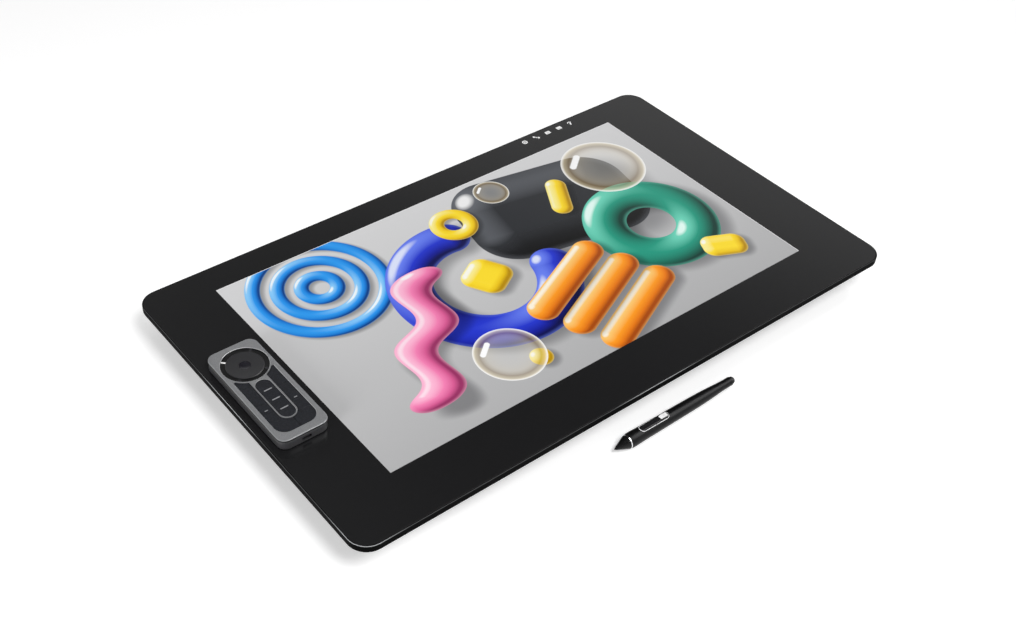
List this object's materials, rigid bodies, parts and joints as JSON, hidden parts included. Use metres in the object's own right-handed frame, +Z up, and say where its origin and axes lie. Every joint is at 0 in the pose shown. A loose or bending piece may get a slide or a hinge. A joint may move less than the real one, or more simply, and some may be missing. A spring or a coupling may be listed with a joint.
{
  "type": "graphics tablet with screen",
  "caption": "Flat pen display with a wide black glass front, a key remote on its left bezel, a stylus beside it, fold-out rear legs and vents.",
  "frame": {"origin": "middle of the footprint of tablet and pen together, on the table", "axes": "+X along the tablet's long side, to the user's right; +Y from the user's edge to the back; +Z up"},
  "size_m": [0.662, 0.4049, 0.059],
  "materials": {
    "black_glass": "etched, black printed border round a clear picture area",
    "frame_paint": "satin black with a bright chamfer",
    "lcd": "picture panel",
    "guide_acrylic": "clear acrylic",
    "sheet_metal": "plain sheet",
    "circuit_board": "solder mask",
    "cover_plastic": "fine spark texture",
    "fan_plastic": "moulded",
    "leg_paint": "satin black",
    "steel": "nickel plated",
    "magnet": "nickel plated",
    "rubber": "moulded",
    "heat_sink": "extruded",
    "button_plastic": "moulded",
    "remote_shell_plastic": "moulded, satin",
    "remote_grey": "anodised grey",
    "ring_plastic": "satin gloss",
    "key_plastic": "fine texture",
    "indicator": "clear light pipe",
    "cell": "foil pouch",
    "pen_grip": "soft touch",
    "pen_plastic": "moulded, satin",
    "silver": "polished",
    "switch_plastic": "gloss"
  },
  "bodies": {
    "display": {"front_glass": "black_glass", "mid_frame": "frame_paint", "lcd_panel": "lcd", "light_guide": "guide_acrylic", "backlight_tray": "sheet_metal", "digitizer_board": "circuit_board", "bezel_magnets": "magnet", "rear_cover": "cover_plastic", "rear_screws": "steel", "rest_strips": "rubber", "arm_plate": "steel", "leg_pins": "steel", "fan_housings": "fan_plastic", "main_board": "circuit_board", "heat_sink": "heat_sink", "power_inlet": "fan_plastic", "video_sockets": "steel", "usb_c_socket": "steel", "usb_a_sockets": "steel"},
    "leg_left": {"leg_left": "leg_paint", "leg_pad_left": "rubber"},
    "leg_right": {"leg_right": "leg_paint", "leg_pad_right": "rubber"},
    "fan_left": {"fan_rotor_left": "fan_plastic"},
    "fan_right": {"fan_rotor_right": "fan_plastic"},
    "power_button": {"power_button": "button_plastic"},
    "touch_switch": {"touch_switch": "button_plastic"},
    "remote": {"remote_shell": "remote_shell_plastic", "remote_faceplate": "remote_grey", "remote_ring": "ring_plastic", "remote_indicators": "indicator", "remote_board": "circuit_board", "remote_battery": "cell", "remote_magnets": "magnet", "remote_pads": "rubber"},
    "ring_button": {"remote_ring_button": "ring_plastic"},
    "remote_slider": {"remote_power_slider": "button_plastic"},
    "pen": {"pen_nose": "pen_plastic", "pen_ring": "silver", "pen_barrel": "pen_grip", "pen_core": "circuit_board"},
    "pen_nib": {"pen_nib": "pen_plastic"},
    "pen_switch": {"pen_switch": "switch_plastic"},
    "pen_eraser": {"pen_eraser": "pen_plastic"},
    "key_1": {"remote_key_1": "key_plastic"},
    "key_2": {"remote_key_2": "key_plastic"},
    "key_3": {"remote_key_3": "key_plastic"},
    "key_4": {"remote_key_4": "key_plastic"},
    "left_key_1": {"remote_left_key_1": "key_plastic"},
    "left_key_2": {"remote_left_key_2": "key_plastic"},
    "left_key_3": {"remote_left_key_3": "key_plastic"},
    "left_key_4": {"remote_left_key_4": "key_plastic"},
    "left_key_5": {"remote_left_key_5": "key_plastic"},
    "left_key_6": {"remote_left_key_6": "key_plastic"},
    "right_key_1": {"remote_right_key_1": "key_plastic"},
    "right_key_2": {"remote_right_key_2": "key_plastic"},
    "right_key_3": {"remote_right_key_3": "key_plastic"},
    "right_key_4": {"remote_right_key_4": "key_plastic"},
    "right_key_5": {"remote_right_key_5": "key_plastic"},
    "right_key_6": {"remote_right_key_6": "key_plastic"}
  },
  "joints": [
    {"name": "leg_left_fold", "type": "hinge", "parent": "display", "child": "leg_left", "pos_m": [-0.218, 0.0975, 0.0084], "axis": [1, 0, 0], "range_deg": [0, 78]},
    {"name": "leg_right_fold", "type": "hinge", "parent": "display", "child": "leg_right", "pos_m": [0.218, 0.0975, 0.0084], "axis": [1, 0, 0], "range_deg": [0, 78]},
    {"name": "fan_left_spin", "type": "hinge", "parent": "display", "child": "fan_left", "pos_m": [-0.1388, 0.0435, 0.0094], "axis": [0, 0, 1], "continuous": true},
    {"name": "fan_right_spin", "type": "hinge", "parent": "display", "child": "fan_right", "pos_m": [0.1388, 0.0435, 0.0094], "axis": [0, 0, 1], "continuous": true},
    {"name": "power_press", "type": "slide", "parent": "display", "child": "power_button", "axis": [0, -1, 0], "range_m": [0, 0.0006], "stiffness_N_per_m": 1500, "springref_m": -0.0003},
    {"name": "touch_slide", "type": "slide", "parent": "display", "child": "touch_switch", "axis": [1, 0, 0], "range_m": [0, 0.003]},
    {"name": "remote_lift", "type": "slide", "parent": "display", "child": "remote", "axis": [0, 0, 1], "range_m": [0, 0.06]},
    {"name": "remote_power_slide", "type": "slide", "parent": "remote", "child": "remote_slider", "axis": [0, 1, 0], "range_m": [0, 0.002]},
    {"name": "ring_button_press", "type": "slide", "parent": "remote", "child": "ring_button", "axis": [0, 0, -1], "range_m": [0, 0.0004], "stiffness_N_per_m": 600, "springref_m": -0.0003},
    {"name": "key_1_press", "type": "slide", "parent": "remote", "child": "key_1", "axis": [0, 0, -1], "range_m": [0, 0.0004], "stiffness_N_per_m": 600, "springref_m": -0.0003},
    {"name": "key_2_press", "type": "slide", "parent": "remote", "child": "key_2", "axis": [0, 0, -1], "range_m": [0, 0.0004], "stiffness_N_per_m": 600, "springref_m": -0.0003},
    {"name": "key_3_press", "type": "slide", "parent": "remote", "child": "key_3", "axis": [0, 0, -1], "range_m": [0, 0.0004], "stiffness_N_per_m": 600, "springref_m": -0.0003},
    {"name": "key_4_press", "type": "slide", "parent": "remote", "child": "key_4", "axis": [0, 0, -1], "range_m": [0, 0.0004], "stiffness_N_per_m": 600, "springref_m": -0.0003},
    {"name": "left_key_1_press", "type": "slide", "parent": "remote", "child": "left_key_1", "axis": [0, 0, -1], "range_m": [0, 0.0004], "stiffness_N_per_m": 600, "springref_m": -0.0003},
    {"name": "left_key_2_press", "type": "slide", "parent": "remote", "child": "left_key_2", "axis": [0, 0, -1], "range_m": [0, 0.0004], "stiffness_N_per_m": 600, "springref_m": -0.0003},
    {"name": "left_key_3_press", "type": "slide", "parent": "remote", "child": "left_key_3", "axis": [0, 0, -1], "range_m": [0, 0.0004], "stiffness_N_per_m": 600, "springref_m": -0.0003},
    {"name": "left_key_4_press", "type": "slide", "parent": "remote", "child": "left_key_4", "axis": [0, 0, -1], "range_m": [0, 0.0004], "stiffness_N_per_m": 600, "springref_m": -0.0003},
    {"name": "left_key_5_press", "type": "slide", "parent": "remote", "child": "left_key_5", "axis": [0, 0, -1], "range_m": [0, 0.0004], "stiffness_N_per_m": 600, "springref_m": -0.0003},
    {"name": "left_key_6_press", "type": "slide", "parent": "remote", "child": "left_key_6", "axis": [0, 0, -1], "range_m": [0, 0.0004], "stiffness_N_per_m": 600, "springref_m": -0.0003},
    {"name": "right_key_1_press", "type": "slide", "parent": "remote", "child": "right_key_1", "axis": [0, 0, -1], "range_m": [0, 0.0004], "stiffness_N_per_m": 600, "springref_m": -0.0003},
    {"name": "right_key_2_press", "type": "slide", "parent": "remote", "child": "right_key_2", "axis": [0, 0, -1], "range_m": [0, 0.0004], "stiffness_N_per_m": 600, "springref_m": -0.0003},
    {"name": "right_key_3_press", "type": "slide", "parent": "remote", "child": "right_key_3", "axis": [0, 0, -1], "range_m": [0, 0.0004], "stiffness_N_per_m": 600, "springref_m": -0.0003},
    {"name": "right_key_4_press", "type": "slide", "parent": "remote", "child": "right_key_4", "axis": [0, 0, -1], "range_m": [0, 0.0004], "stiffness_N_per_m": 600, "springref_m": -0.0003},
    {"name": "right_key_5_press", "type": "slide", "parent": "remote", "child": "right_key_5", "axis": [0, 0, -1], "range_m": [0, 0.0004], "stiffness_N_per_m": 600, "springref_m": -0.0003},
    {"name": "right_key_6_press", "type": "slide", "parent": "remote", "child": "right_key_6", "axis": [0, 0, -1], "range_m": [0, 0.0004], "stiffness_N_per_m": 600, "springref_m": -0.0003},
    {"name": "pen_lift", "type": "slide", "parent": "display", "child": "pen", "axis": [0, 0, 1], "range_m": [0, 0.08]},
    {"name": "nib_press", "type": "slide", "parent": "pen", "child": "pen_nib", "axis": [1, 0, 0], "range_m": [0, 0.0006], "stiffness_N_per_m": 800, "springref_m": -0.0003},
    {"name": "eraser_press", "type": "slide", "parent": "pen", "child": "pen_eraser", "axis": [-1, 0, 0], "range_m": [0, 0.0008], "stiffness_N_per_m": 800, "springref_m": -0.0003},
    {"name": "side_switch_rock", "type": "hinge", "parent": "pen", "child": "pen_switch", "pos_m": [-0.0098, -0.19485, 0.01334], "axis": [0, 1, 0], "range_deg": [-2.5, 2.5], "stiffness_Nm_per_rad": 0.05}
  ]
}
